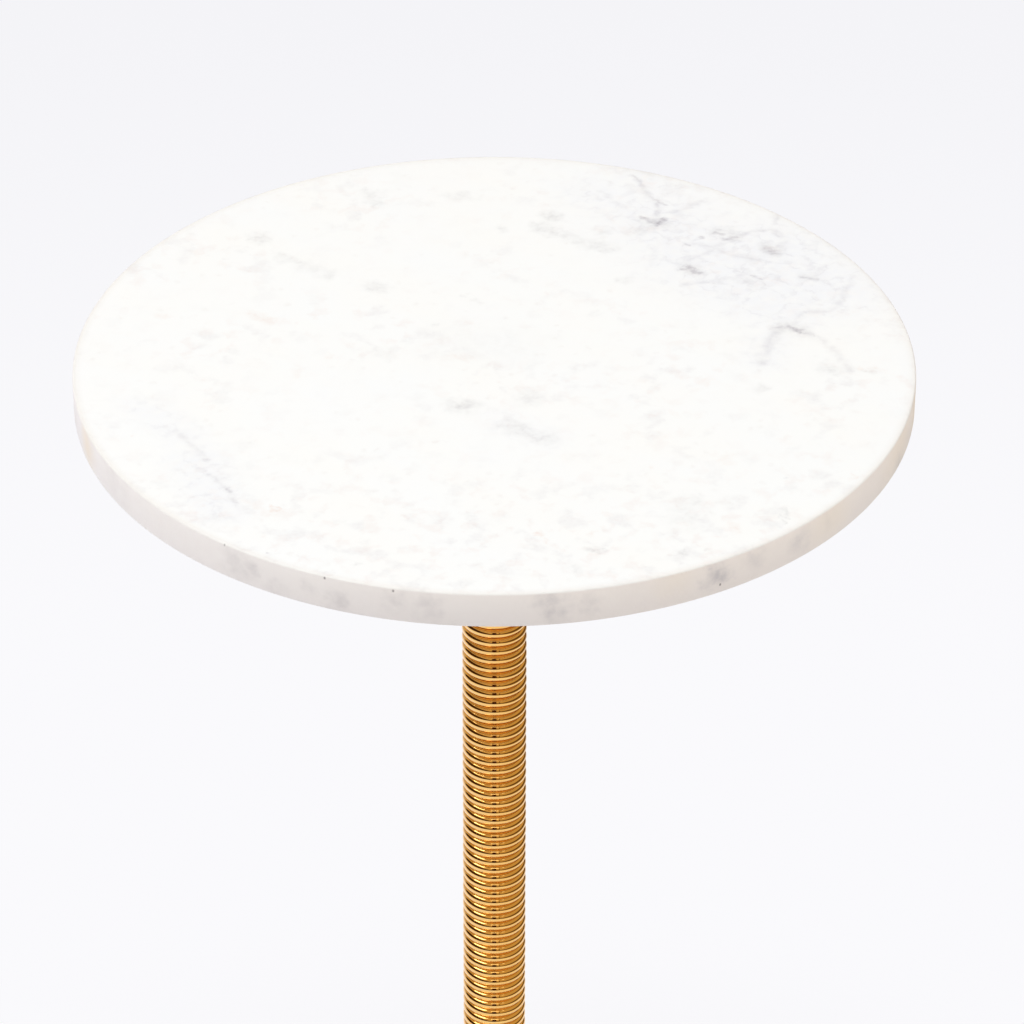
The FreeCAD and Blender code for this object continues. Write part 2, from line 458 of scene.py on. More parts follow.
ring_weights = []
drift = 0.0
for k in range(ring_count):
    drift = ring_drift_kept * drift + within(ring_drift_step)
    ring_weights.append(1.0 + drift + within(ring_thickness_luck))
weight_sum = sum(ring_weights)
ring_base = ring_stack_bottom
rings = []
for weight in ring_weights:
    thickness = weight / weight_sum * (ring_stack_top - ring_stack_bottom)
    bpy.ops.object.select_all(action="DESELECT")
    first_ring.select_set(True)
    bpy.context.view_layer.objects.active = first_ring
    bpy.ops.object.duplicate()
    ring = bpy.context.object
    sway = ring_luck.uniform(0.0, 2 * math.pi)
    lean = ring_luck.uniform(0.0, ring_lean)
    ring.scale = (1, 1, thickness / ring_pitch)
    ring.rotation_euler = (lean * math.cos(sway), lean * math.sin(sway), 0)
    ring.location = (
        within(ring_offset) * mm,
        within(ring_offset) * mm,
        (ring_base + thickness / 2) * mm,
    )
    ring_base += thickness
    rings.append(ring)
bpy.data.objects.remove(first_ring)
bpy.ops.object.select_all(action="DESELECT")
for ring in rings:
    ring.select_set(True)
bpy.context.view_layer.objects.active = rings[0]
bpy.ops.object.transform_apply(location=True, rotation=True, scale=True)
bpy.ops.object.join()
ring_stack = bpy.context.object
ring_stack.name = "ring_stack"
ring_gold = plated_gold(
    "ring_gold",
    light=(0.97, 0.605, 0.185),
    deep=(0.93, 0.55, 0.148),
    gloss=(0.05, 0.09),
    wave_scale=260,
    wave_depth=0.012,
    line_depth=0.0004,
    # The darker band in the crevice between rings is painted shade.
    crevice_shade=(10.9, 11.5, (0.84, 0.48, 0.12)),
)
dress(ring_stack, ring_gold)
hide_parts("stem_rings")


# A round steel plate carries the slab, plated in a duller gold whose darker colour is painted shade
# for the shadow under the slab.
# A sheet of rubber between plate and stone takes up the unevenness of the sawn underside.
shaded_plate_gold = plated_gold(
    "shaded_plate_gold",
    # Painted shade: these tones are darker than the rings' for the shade under the slab.
    light=(0.70, 0.42, 0.14),
    deep=(0.62, 0.36, 0.12),
    gloss=(0.20, 0.30),
    wave_scale=50,
    wave_depth=0.003,
    line_depth=0.0020,
)
redress("top_plate", shaded_plate_gold)
redress("top_gasket", dusty_rubber("gasket_rubber"))


# Four button-head screws with washers hold the plate to threaded inserts glued into the stone.
# Screws and washers are zinc-plated, and the inserts are bare machined brass.
screw_zinc = zinc_plate("screw_zinc")
redress("plate_screws", screw_zinc)
redress("plate_washers", screw_zinc)
insert_brass = drawn_metal(
    "insert_brass", light=(0.78, 0.57, 0.26), dark=(0.62, 0.43, 0.18), gloss=(0.25, 0.38)
)
redress("thread_inserts", insert_brass)


# The top is a sawn slab of white marble, honed flat, with both rims eased by hand.
# Grey-violet veins gather at the far right, soft smudges drift across the rest,
# and the rim has small pits.
slab_radius = 152.5
slab_bottom = 546.5
slab_top = 560.0
slab_edge_round = 0.8
slab_lower_round = 0.9
slab_insets = (6.0, 24.0, 50.0)
slab_turns = 256
bpy.ops.object.select_all(action="DESELECT")
bpy.ops.mesh.primitive_cylinder_add(
    vertices=slab_turns,
    radius=slab_radius * mm,
    depth=(slab_top - slab_bottom) * mm,
    location=(0, 0, (slab_top + slab_bottom) / 2 * mm),
)
slab = bpy.context.object
slab.name = "marble_slab"
bpy.ops.object.transform_apply(location=True, rotation=True, scale=True)
bpy.ops.object.mode_set(mode="EDIT")
for level, size, cuts in ((slab_top, slab_edge_round, 6), (slab_bottom, slab_lower_round, 5)):
    pick(slab, lambda place: abs(place.z - level) < near_corner)
    bpy.ops.mesh.select_mode(type="EDGE")
    bpy.ops.mesh.bevel(offset=size * mm, offset_type="OFFSET", segments=cuts, affect="EDGES")
for level in (slab_top, slab_bottom):
    pick(slab, lambda place: abs(place.z - level) < same_place)
    bpy.ops.mesh.select_mode(type="FACE")
    for inset in slab_insets:
        bpy.ops.mesh.inset(thickness=inset * mm)
bpy.ops.object.mode_set(mode="OBJECT")
bpy.ops.object.shade_smooth_by_angle(angle=smooth_below)

# Marks on the upper face: (from x, from y, to x, to y, half width, strength), in slab radii
# from the middle. A thin vein is (half width, strength, places that it runs through).
vein_spots = [
    (0.365, 0.689, 0.387, 0.658, 0.020, 0.87),
    (0.397, 0.645, 0.414, 0.672, 0.026, 1.00),
    (0.509, 0.589, 0.511, 0.585, 0.019, 0.92),
    (0.475, 0.551, 0.478, 0.549, 0.016, 0.84),
    (0.542, 0.612, 0.561, 0.601, 0.019, 0.89),
    (0.567, 0.579, 0.596, 0.587, 0.020, 0.87),
    (0.668, 0.533, 0.692, 0.513, 0.034, 0.84),
    (0.455, 0.431, 0.474, 0.427, 0.017, 0.89),
    (0.474, 0.441, 0.496, 0.411, 0.022, 0.92),
    (0.519, 0.363, 0.530, 0.361, 0.016, 0.71),
    (0.628, 0.397, 0.645, 0.380, 0.017, 0.81),
    (0.750, 0.397, 0.784, 0.384, 0.022, 0.74),
    (0.668, 0.150, 0.709, 0.159, 0.019, 0.77),
    (0.702, 0.159, 0.730, 0.139, 0.023, 0.97),
    (0.730, 0.139, 0.764, 0.118, 0.017, 0.77),
    (0.401, 0.780, 0.424, 0.752, 0.016, 0.78),
    (0.565, 0.823, 0.572, 0.816, 0.013, 0.80),
    (0.344, 0.900, 0.360, 0.873, 0.016, 0.74),
    (0.849, 0.302, 0.845, 0.280, 0.019, 0.63),
    (0.811, 0.452, 0.813, 0.445, 0.017, 0.63),
    (0.746, 0.228, 0.750, 0.222, 0.016, 0.67),
    (-0.662, -0.442, -0.658, -0.446, 0.017, 0.74),
    (-0.606, -0.575, -0.602, -0.583, 0.019, 0.81),
    (-0.586, -0.625, -0.580, -0.632, 0.022, 0.65),
    (-0.712, -0.571, -0.709, -0.573, 0.012, 0.77),
    (-0.080, -0.215, -0.060, -0.207, 0.024, 0.58),
    (0.666, -0.517, 0.668, -0.519, 0.012, 0.57),
    (-0.506, -0.836, -0.505, -0.837, 0.011, 1.00),
]
vein_paths = [
    (0.009, 0.40, [
        (0.344, 0.900), (0.360, 0.873), (0.383, 0.798), (0.406, 0.771), (0.406, 0.723),
        (0.398, 0.669),
    ]),
    (0.011, 0.36, [(0.528, 0.776), (0.494, 0.750), (0.465, 0.724), (0.433, 0.705)]),
    (0.009, 0.24, [(0.259, 0.819), (0.293, 0.772), (0.327, 0.743)]),
    (0.009, 0.36, [(0.596, 0.587), (0.634, 0.623), (0.684, 0.624), (0.713, 0.580)]),
    (0.008, 0.32, [(0.708, 0.718), (0.701, 0.681), (0.695, 0.652)]),
    (0.009, 0.28, [(0.463, 0.475), (0.503, 0.492), (0.532, 0.520), (0.567, 0.534)]),
    (0.012, 0.24, [(0.692, 0.623), (0.719, 0.577), (0.689, 0.536)]),
    (0.010, 0.28, [(0.485, 0.560), (0.539, 0.536), (0.594, 0.577)]),
    (0.010, 0.30, [(0.539, 0.536), (0.600, 0.492), (0.648, 0.476)]),
    (0.010, 0.26, [(0.458, 0.356), (0.519, 0.363), (0.583, 0.392), (0.610, 0.408), (0.634, 0.389)]),
    (0.010, 0.26, [(0.713, 0.159), (0.746, 0.225), (0.808, 0.234), (0.849, 0.295), (0.866, 0.363)]),
    (0.017, 0.34, [(0.675, 0.144), (0.662, 0.085), (0.637, 0.030), (0.634, -0.008)]),
    (0.013, 0.26, [(0.764, 0.118), (0.800, 0.068), (0.827, 0.010), (0.841, -0.045)]),
    (0.010, 0.22, [(0.811, 0.458), (0.770, 0.394)]),
    (0.009, 0.26, [(-0.739, -0.319), (-0.662, -0.442)]),
    (0.009, 0.36, [(-0.648, -0.506), (-0.606, -0.578), (-0.583, -0.628)]),
]
soft_smudges = [
    (0.390, 0.662, 0.400, 0.655, 0.050, 0.34),
    (0.553, 0.621, 0.594, 0.594, 0.040, 0.28),
    (0.675, 0.527, 0.690, 0.515, 0.050, 0.30),
    (0.470, 0.437, 0.492, 0.414, 0.045, 0.28),
    (0.760, 0.393, 0.780, 0.385, 0.040, 0.22),
    (0.690, 0.155, 0.745, 0.132, 0.045, 0.30),
    (-0.584, 0.576, -0.578, 0.570, 0.042, 0.42),
    (-0.533, 0.488, -0.410, 0.400, 0.036, 0.24),
    (-0.431, 0.413, -0.420, 0.405, 0.036, 0.28),
    (-0.295, 0.345, -0.285, 0.340, 0.046, 0.30),
    (-0.329, 0.814, -0.295, 0.760, 0.034, 0.30),
    (-0.118, 0.787, -0.077, 0.794, 0.034, 0.22),
    (0.018, 0.624, 0.020, 0.615, 0.024, 0.22),
    (0.133, 0.692, 0.140, 0.685, 0.046, 0.42),
    (0.110, 0.635, 0.150, 0.608, 0.042, 0.40),
    (0.152, 0.608, 0.274, 0.533, 0.042, 0.30),
    (0.261, 0.615, 0.268, 0.612, 0.030, 0.24),
    (0.340, 0.608, 0.355, 0.609, 0.032, 0.36),
    (0.315, 0.381, 0.322, 0.378, 0.030, 0.26),
    (-0.071, 0.304, -0.037, 0.277, 0.014, 0.24),
    (-0.143, 0.164, -0.139, 0.161, 0.015, 0.26),
    (0.032, 0.121, 0.040, 0.115, 0.024, 0.18),
    (-0.274, 0.039, -0.250, 0.030, 0.050, 0.14),
    (-0.100, 0.085, 0.020, 0.060, 0.150, 0.09),
    (-0.082, -0.212, -0.068, -0.205, 0.055, 0.36),
    (0.082, -0.160, 0.080, -0.180, 0.060, 0.18),
    (0.027, -0.292, 0.122, -0.353, 0.038, 0.30),
    (0.462, -0.598, 0.455, -0.630, 0.032, 0.36),
    (0.435, -0.640, 0.440, -0.690, 0.080, 0.16),
    (0.530, -0.605, 0.525, -0.620, 0.036, 0.16),
    (0.663, -0.652, 0.666, -0.713, 0.016, 0.34),
    (0.211, -0.818, 0.238, -0.813, 0.018, 0.46),
    (0.177, -0.890, 0.183, -0.900, 0.028, 0.26),
    (0.421, -0.826, 0.425, -0.830, 0.018, 0.40),
    (0.483, -0.822, 0.486, -0.825, 0.013, 0.30),
    (0.795, -0.030, 0.800, -0.040, 0.042, 0.32),
    (0.883, -0.041, 0.888, -0.043, 0.020, 0.38),
    (0.625, -0.129, 0.632, -0.132, 0.030, 0.20),
    (-0.311, -0.883, -0.306, -0.886, 0.015, 0.28),
    (-0.060, -0.680, -0.055, -0.685, 0.020, 0.22),
    (-0.345, -0.700, -0.342, -0.704, 0.015, 0.18),
]
vein_zones = [
    (0.36, 0.90, 0.42, 0.80, 0.170, 0.60),
    (0.27, 0.80, 0.40, 0.68, 0.190, 0.65),
    (0.40, 0.68, 0.52, 0.50, 0.270, 0.90),
    (0.52, 0.50, 0.70, 0.50, 0.300, 1.00),
    (0.58, 0.40, 0.78, 0.36, 0.270, 1.00),
    (0.62, 0.30, 0.70, 0.24, 0.190, 0.85),
    (0.66, 0.12, 0.64, 0.00, 0.090, 0.55),
    (0.80, 0.42, 0.85, 0.28, 0.170, 0.60),
    (-0.82, -0.22, -0.72, -0.35, 0.090, 0.55),
    (-0.68, -0.45, -0.62, -0.65, 0.120, 0.75),
    (0.02, -0.28, 0.12, -0.36, 0.090, 0.40),
]
rust_specks = [
    (0.095, -0.755, 0.098, -0.766, 0.016, 0.70),
    (0.111, -0.785, 0.113, -0.792, 0.014, 0.50),
    (0.228, -0.742, 0.231, -0.744, 0.013, 0.42),
    (-0.503, -0.650, -0.500, -0.663, 0.014, 0.75),
    (-0.587, 0.205, -0.545, 0.180, 0.030, 0.36),
    (-0.311, -0.510, -0.305, -0.520, 0.024, 0.26),
    (-0.468, -0.034, -0.465, -0.070, 0.026, 0.20),
    (-0.841, -0.340, -0.839, -0.343, 0.012, 0.32),
    (-0.810, 0.200, -0.790, 0.197, 0.022, 0.26),
    (-0.338, -0.795, -0.334, -0.797, 0.018, 0.24),
    (-0.169, -0.775, -0.165, -0.777, 0.017, 0.20),
    (-0.104, 0.019, -0.060, 0.010, 0.024, 0.26),
    (-0.064, 0.169, -0.060, 0.167, 0.017, 0.20),
    (-0.390, 0.026, -0.386, 0.022, 0.019, 0.18),
    (0.496, -0.095, 0.502, -0.105, 0.030, 0.28),
    (0.537, -0.420, 0.535, -0.448, 0.024, 0.26),
    (0.544, -0.715, 0.548, -0.728, 0.026, 0.28),
    (0.360, -0.476, 0.362, -0.480, 0.014, 0.24),
    (0.421, -0.235, 0.420, -0.245, 0.017, 0.24),
    (0.394, -0.320, 0.393, -0.335, 0.019, 0.18),
    (0.816, -0.510, 0.820, -0.513, 0.014, 0.34),
    (0.870, -0.030, 0.890, -0.036, 0.022, 0.30),
]
# Marks on the rim: (turn from the front in degrees, share of the way down, half width, strength).
rim_blotches_and_shade = [
    (-60, 0.5, 0.100, 0.12),
    (-35, 0.5, 0.070, 0.34),
    (-33, 0.4, 0.034, 0.40),
    (-29, 0.8, 0.045, 0.24),
    (-20.6, 0.65, 0.050, 0.46),
    (-24.5, 0.5, 0.030, 0.22),
    (-12.5, 0.4, 0.045, 0.24),
    (-8, 0.5, 0.055, 0.34),
    (7.75, 0.45, 0.060, 0.58),
    (12.5, 0.5, 0.045, 0.38),
    (30, 0.5, 0.055, 0.85),
    (36, 0.4, 0.050, 0.24),
    (44, 0.5, 0.050, 0.36),
    (50, 0.4, 0.045, 0.14),
    # This blotch low on the right is painted shade along the lower edge.
    (70, 0.95, 0.060, 0.34),
    (95, 0.5, 0.080, 0.30),
    (128, 0.4, 0.060, 0.45),
    (150, 0.5, 0.090, 0.35),
    (172, 0.6, 0.050, 0.40),
    (-105, 0.5, 0.070, 0.34),
    (-140, 0.4, 0.060, 0.30),
]
rim_stains = [
    (-71, 0.5, 0.085, 0.85),
    (24, 0.1, 0.090, 0.25),
    (50, 0.3, 0.120, 0.34),
    (70, 0.3, 0.170, 0.46),
    (84, 0.3, 0.160, 0.96),
    (-165, 0.5, 0.150, 0.30),
]
# The rim pits are dents whose dark colour is painted shade inside them.
rim_pits = [
    (-37, 0.05, 0.0040, 0.50),
    (-21.9, 0.08, 0.0042, 0.75),
    (-12.7, 0.10, 0.0042, 0.75),
    (30.6, 0.75, 0.0040, 0.85),
    (140, 0.3, 0.0045, 0.90),
    (-120, 0.6, 0.0045, 0.80),
]

slab_marble, tree, shader, place = new_finish("slab_marble")


def math_node(tree, operation, first, second=0.0):
    """One sum of two patterns or numbers."""
    sockets = {0: first, 1: second}
    return add_node(tree, "ShaderNodeMath", sockets, operation=operation).outputs[0]


def product(tree, first, second):
    """One pattern times another, or times a number."""
    return math_node(tree, "MULTIPLY", first, second)


def greater(tree, first, second):
    """The stronger of two patterns at each place."""
    return math_node(tree, "MAXIMUM", first, second)


def scaled(tree, vector, amount):
    """A direction made longer or shorter."""
    sockets = {0: vector, 3: amount}
    return add_node(tree, "ShaderNodeVectorMath", sockets, operation="SCALE").outputs[0]


def between(tree, amount, low, high):
    """A smooth step from 0 at low to 1 at high, which falls where low is the larger."""
    sockets = {0: amount, 1: low, 2: high}
    step = add_node(tree, "ShaderNodeMapRange", sockets, interpolation_type="SMOOTHSTEP")
    return step.outputs[0]


def ranged(tree, pattern, low, high):
    """Bring a 0 to 1 pattern to another range."""
    return add_node(tree, "ShaderNodeMapRange", {0: pattern, 3: low, 4: high}).outputs[0]


def times(tree, amount, pattern, low, high):
    """A mark made uneven by a 0 to 1 pattern, which takes it from low to high of its strength."""
    return product(tree, amount, ranged(tree, pattern, low, high))


def clouds(tree, place, scale, detail):
    """A cloudy pattern that runs from about 0 to 1."""
    return spread(tree, noise(tree, place, scale, detail))


def wander(tree, place, scale, amount):
    """Push places about by a noise, so that straight marks turn ragged."""
    drift = noise(tree, place, scale, 3, "Color")
    centred = vector_node(tree, "SUBTRACT", drift, (0.5, 0.5, 0.5))
    return vector_node(tree, "ADD", place, scaled(tree, centred, amount))


def layered(tree, colour, amount, over):
    """Lay another colour over the stone by a pattern."""
    return tint(tree, amount, colour, over)


# One mark is a short straight stroke that fades from its middle line to its half width.
mark_group = bpy.data.node_groups.new("stone_mark", "ShaderNodeTree")
for socket_name, socket_kind in (
    ("Place", "NodeSocketVector"),
    ("From", "NodeSocketVector"),
    ("Run", "NodeSocketVector"),
    ("Width", "NodeSocketFloat"),
    ("Strength", "NodeSocketFloat"),
):
    mark_group.interface.new_socket(socket_name, in_out="INPUT", socket_type=socket_kind)
mark_group.interface.new_socket("Mark", in_out="OUTPUT", socket_type="NodeSocketFloat")
given = mark_group.nodes.new("NodeGroupInput").outputs
mark_out = mark_group.nodes.new("NodeGroupOutput")
reach = vector_node(mark_group, "SUBTRACT", given["Place"], given["From"])
along = vector_node(mark_group, "DOT_PRODUCT", reach, given["Run"], "Value")
span = vector_node(mark_group, "DOT_PRODUCT", given["Run"], given["Run"], "Value")
share = math_node(mark_group, "DIVIDE", along, span)
share = add_node(mark_group, "ShaderNodeClamp", {0: share}).outputs[0]
nearest = scaled(mark_group, given["Run"], share)
apart = vector_node(mark_group, "DISTANCE", reach, nearest, "Value")
fade = add_node(
    mark_group,
    "ShaderNodeMapRange",
    {0: apart, 1: 0.0, 2: given["Width"], 3: given["Strength"], 4: 0.0},
    interpolation_type="SMOOTHSTEP",
).outputs[0]
mark_group.links.new(fade, mark_out.inputs[0])
least_run = 0.0001
rim_mark_run = 0.002
vein_power = 2.0
vein_broadened = 2.2
spot_power = 2.5


def on_face(marks):
    """Marks on the upper face, as start, run, width and strength."""
    placed = []
    for x, y, to_x, to_y, width, strength in marks:
        run = Vector((to_x - x, to_y - y, least_run))
        placed.append((Vector((x, y, 0)), run, width, strength))
    return placed


def along_paths(paths):
    """Thin veins on the upper face, each cut into straight marks that are sharpened later."""
    marks = []
    for width, strength, points in paths:
        for start, end in zip(points, points[1:]):
            marks.append((*start, *end, vein_broadened * width, math.sqrt(strength)))
    return on_face(marks)


def on_rim(marks):
    """Marks on the rim, as start, run, width and strength."""
    placed = []
    for turn, down, width, strength in marks:
        depth = -down * (slab_top - slab_bottom) / slab_radius
        start = Vector((math.sin(math.radians(turn)), -math.cos(math.radians(turn)), depth))
        placed.append((start, Vector((0, 0, rim_mark_run)), width, strength))
    return placed


def marked(tree, place, marks):
    """All marks of one kind, laid over each other."""
    total = None
    for start, run, width, strength in marks:
        sockets = {"Place": place, "From": start, "Run": run, "Width": width, "Strength": strength}
        mark = add_node(tree, "ShaderNodeGroup", sockets, node_tree=mark_group).outputs[0]
        total = mark if total is None else greater(tree, total, mark)
    return total


# The stone's layers drift from the far left to the near right, so its broad clouds are drawn out
# along that line. Patterns are in slab radii, with the upper face at height 0.
bedding_turn = math.radians(39)
bedding_stretch = (0.5, 1, 1)
slab_place = add_node(tree, "ShaderNodeMapping", {
    "Vector": place,
    "Location": (0, 0, -slab_top / slab_radius),
    "Scale": (1 / slab_radius / mm,) * 3,
}).outputs[0]
across, to_back, height = add_node(tree, "ShaderNodeSeparateXYZ", {0: slab_place}).outputs
below = product(tree, height, -1)
turned_place = add_node(tree, "ShaderNodeMapping", {
    "Vector": slab_place,
    "Rotation": (0, 0, bedding_turn),
}).outputs[0]
bedded = vector_node(tree, "MULTIPLY", turned_place, bedding_stretch)
ragged = wander(tree, slab_place, scale=10, amount=0.024)
ragged = wander(tree, ragged, scale=48, amount=0.026)
frayed = wander(tree, slab_place, scale=11, amount=0.050)
frayed = wander(tree, frayed, scale=38, amount=0.050)
drifting = wander(tree, slab_place, scale=14, amount=0.050)
cloud = clouds(tree, bedded, scale=5.5, detail=5)
speckle = clouds(tree, bedded, scale=24, detail=3)
mottle = clouds(tree, slab_place, scale=34, detail=3)
grain = clouds(tree, slab_place, scale=90, detail=3)

# The white ground has cool and warm clouds, greyer veined patches, flecks, dapples and smudges.
ground_cool = (0.936, 0.946, 0.948)
ground_warm = (0.946, 0.945, 0.930)
zone_grey = (0.896, 0.907, 0.931)
fleck_brown = (0.60, 0.52, 0.49)
smudge_grey = (0.58, 0.575, 0.58)
zone = marked(tree, drifting, on_face(vein_zones))
stone = tint(tree, cloud, ground_cool, ground_warm)
stone = layered(tree, stone, times(tree, zone, mottle, 0.55, 1.30), zone_grey)
cells = add_node(tree, "ShaderNodeTexVoronoi", {"Vector": ragged, "Scale": 30}).outputs
cell_tone = add_node(tree, "ShaderNodeRGBToBW", {0: cells["Color"]}).outputs[0]
chosen = between(tree, cell_tone, 0.58, 0.72)
fleck = product(tree, chosen, between(tree, cells["Distance"], 0.36, 0.04))
stone = layered(tree, stone, times(tree, fleck, mottle, 0.03, 0.13), fleck_brown)
gather = between(tree, clouds(tree, slab_place, scale=3.5, detail=3), 0.30, 0.95)
gather = greater(tree, gather, between(tree, to_back, -0.30, -0.75))
for dapple_scale, amount, dapple_tint in (
    (15, 0.42, (0.80, 0.79, 0.80)),
    (20, 0.32, (0.86, 0.79, 0.77)),
):
    dapple = between(tree, clouds(tree, ragged, dapple_scale, detail=5), 0.53, 0.95)
    dapple = times(tree, dapple, gather, 0.06, amount)
    stone = layered(tree, stone, times(tree, dapple, grain, 0.5, 1.3), dapple_tint)
smudge = times(tree, marked(tree, frayed, on_face(soft_smudges)), mottle, 0.30, 1.15)
stone = layered(tree, stone, times(tree, smudge, grain, 0.5, 1.3), smudge_grey)

# Veins fade from a dark middle, and a fine web of broken threads fills the veined patches.
# A few specks are rusty, and the face turns tan towards its edge.
vein_grey = (0.30, 0.27, 0.33)
vein_strength = 0.66
thread_strength = 0.25
rust_pink = (0.77, 0.58, 0.50)
edge_tan = (0.68, 0.57, 0.45)
vein = math_node(tree, "POWER", marked(tree, ragged, along_paths(vein_paths)), vein_power)
spot = math_node(tree, "POWER", marked(tree, ragged, on_face(vein_spots)), spot_power)
thread = math_node(tree, "SUBTRACT", noise(tree, ragged, scale=13, detail=4), 0.5)
thread = between(tree, math_node(tree, "ABSOLUTE", thread), 0.05, 0.0)
thread = product(tree, thread, product(tree, zone, thread_strength))
dark = greater(tree, times(tree, vein, mottle, 0.15, 1.1), times(tree, spot, grain, 0.50, 1.05))
dark = greater(tree, dark, times(tree, thread, mottle, 0.0, 1.0))
stone = layered(tree, stone, product(tree, dark, vein_strength), vein_grey)
rust = times(tree, marked(tree, frayed, on_face(rust_specks)), grain, 0.25, 0.65)
stone = layered(tree, stone, rust, rust_pink)
from_middle = radius_of(tree, slab_place)
edge_tint = product(tree, between(tree, from_middle, 0.975, 1.0), 0.12)
arris_tint = product(tree, between(tree, from_middle, 0.988, 0.999), 0.08)
stone = layered(tree, stone, math_node(tree, "ADD", edge_tint, arris_tint), edge_tan)

# The rim is rougher and warmer than the face, tan towards the right, with soft blotches
# and a few open pits. Its colour is painted darker towards its lower edge, more on the right:
# painted shade for the light that fades down the rim.
rim_left = (0.944, 0.898, 0.860)
rim_right = (0.962, 0.876, 0.790)
painted_rim_shade = (0.55, 0.51, 0.51)
rim_mottle = (0.80, 0.71, 0.68)
stain_tan = (0.93, 0.79, 0.60)
blotch_and_shade_grey = (0.53, 0.49, 0.49)
pit_painted_shade = (0.16, 0.13, 0.12)
rim_depth = 0.0885
rim = between(tree, below, 0.0, 0.0055)
rim_stone = tint(tree, between(tree, across, -0.8, 0.9), rim_left, rim_right)
# Painted shade: darker down the rim, less on the left, for the light fading towards the lower edge.
sockets = {0: below, 1: 0.0, 2: rim_depth, 3: 0.0, 4: 0.28}
rim_painted_shade = add_node(tree, "ShaderNodeMapRange", sockets).outputs[0]
rim_painted_shade = times(tree, rim_painted_shade, between(tree, across, -0.8, 0.0), 0.45, 1.0)
rim_stone = layered(tree, rim_stone, rim_painted_shade, painted_rim_shade)
rim_stone = layered(tree, rim_stone, times(tree, mottle, cloud, 0.0, 0.16), rim_mottle)
stain = times(tree, marked(tree, drifting, on_rim(rim_stains)), cloud, 0.5, 1.0)
rim_stone = layered(tree, rim_stone, stain, stain_tan)
# One blotch, low on the right, is painted shade along the rim's lower edge. The others are grey
# marks in the stone.
blotch_and_shade = times(tree, marked(tree, frayed, on_rim(rim_blotches_and_shade)), mottle, 0.20, 1.10)
rim_stone = layered(tree, rim_stone, blotch_and_shade, blotch_and_shade_grey)
stone = layered(tree, stone, rim, rim_stone)

# The underside is left sawn and is painted a darker brown, as painted shade for the shadow beneath
# the slab.
underside_shade_light = (0.50, 0.39, 0.28)
underside_shade_dark = (0.39, 0.30, 0.21)
underside_shade_fleck = (0.34, 0.26, 0.19)
underside_shade_zone = (0.36, 0.31, 0.27)
shaded_underside = layered(tree, tint(tree, speckle, underside_shade_light, underside_shade_dark), fleck, underside_shade_fleck)
shaded_underside = layered(tree, shaded_underside, times(tree, zone, mottle, 0.0, 0.6), underside_shade_zone)
back = between(tree, below, 0.0877, 0.0884)
stone = layered(tree, stone, back, shaded_underside)
# Painted shade: the pits are coloured dark for the shade inside them.
pit = marked(tree, slab_place, on_rim(rim_pits))
stone = layered(tree, stone, pit, pit_painted_shade)
honed = ranged(tree, speckle, 0.30, 0.40)
sawn = clouds(tree, slab_place, scale=130, detail=4)
rough = math_node(
    tree, "ADD", times(tree, sawn, rim, 0.15, 1.0), times(tree, back, sawn, 0.0, 2.0)
)
rough = math_node(tree, "SUBTRACT", rough, pit)
feed(tree, shader, {
    "Base Color": stone,
    "Roughness": math_node(tree, "ADD", honed, product(tree, rim, 0.16)),
    "Specular IOR Level": 0.35,
    "Normal": bumped(tree, rough, depth=0.10, strength=0.5),
})
dress(slab, slab_marble)
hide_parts("marble_top")


# The studio is a white floor in a white room, lit by a wide soft box above, a bright one at the
# upper left and weaker ones around the camera. Polished metal also sees dark lower walls, warm
# upper walls, the ends of the floor and two stands behind the camera.
floor_size = 24
floor_grey = (0.90, 0.895, 0.92, 1)
near_white = (0.957, 0.953, 0.976)
far_white = (0.905, 0.902, 0.930)
sheen_cool = (1.0, 1.02, 1.20)
sheen_warm = (1.02, 0.96, 0.90)
room_brown = (0.16, 0.09, 0.025)
room_pale = (0.62, 0.56, 0.60)
bpy.ops.object.select_all(action="DESELECT")
bpy.ops.mesh.primitive_plane_add(size=floor_size, location=(0, 0, 0))
floor = bpy.context.object
floor.name = "studio_floor"
floor_paint, tree, shader, place = new_finish("floor_paint")
away = radius_of(tree, place)
to_right, to_back, _ = add_node(tree, "ShaderNodeSeparateXYZ", {0: place}).outputs
path = add_node(tree, "ShaderNodeLightPath").outputs
seen = greater(tree, path["Is Camera Ray"], path["Is Glossy Ray"])
blank = product(tree, between(tree, away, 0.10, 0.42), seen)
backdrop = tint(tree, between(tree, away, 0.6, 1.5), near_white, far_white)
sheen = tint(tree, between(tree, to_right, -0.2, 0.5), sheen_cool, sheen_warm)
past_end = greater(tree, between(tree, to_right, 0.55, 1.10), between(tree, away, 1.6, 3.2))
back_right = product(tree, between(tree, to_back, 0.3, 0.7), between(tree, to_right, 0.10, 0.40))
past_end = greater(tree, past_end, product(tree, back_right, 0.45))
back_left = product(tree, between(tree, to_back, 0.4, 0.8), between(tree, to_right, 0.3, 0.0))
end_colour = tint(tree, back_left, room_brown, room_pale)
mirrored = tint(tree, past_end, sheen, end_colour)
shown = tint(tree, path["Is Glossy Ray"], backdrop, mirrored)
feed(tree, shader, {"Base Color": floor_grey, "Roughness": 0.9, "Specular IOR Level": 0.0})
glow = add_node(tree, "ShaderNodeEmission", {"Color": shown, "Strength": 1.0}).outputs[0]
floor_mix = add_node(tree, "ShaderNodeMixShader", {0: blank, 1: shader.outputs[0], 2: glow})
tree.links.new(floor_mix.outputs[0], tree.nodes["Material Output"].inputs["Surface"])
floor.data.materials.append(floor_paint)


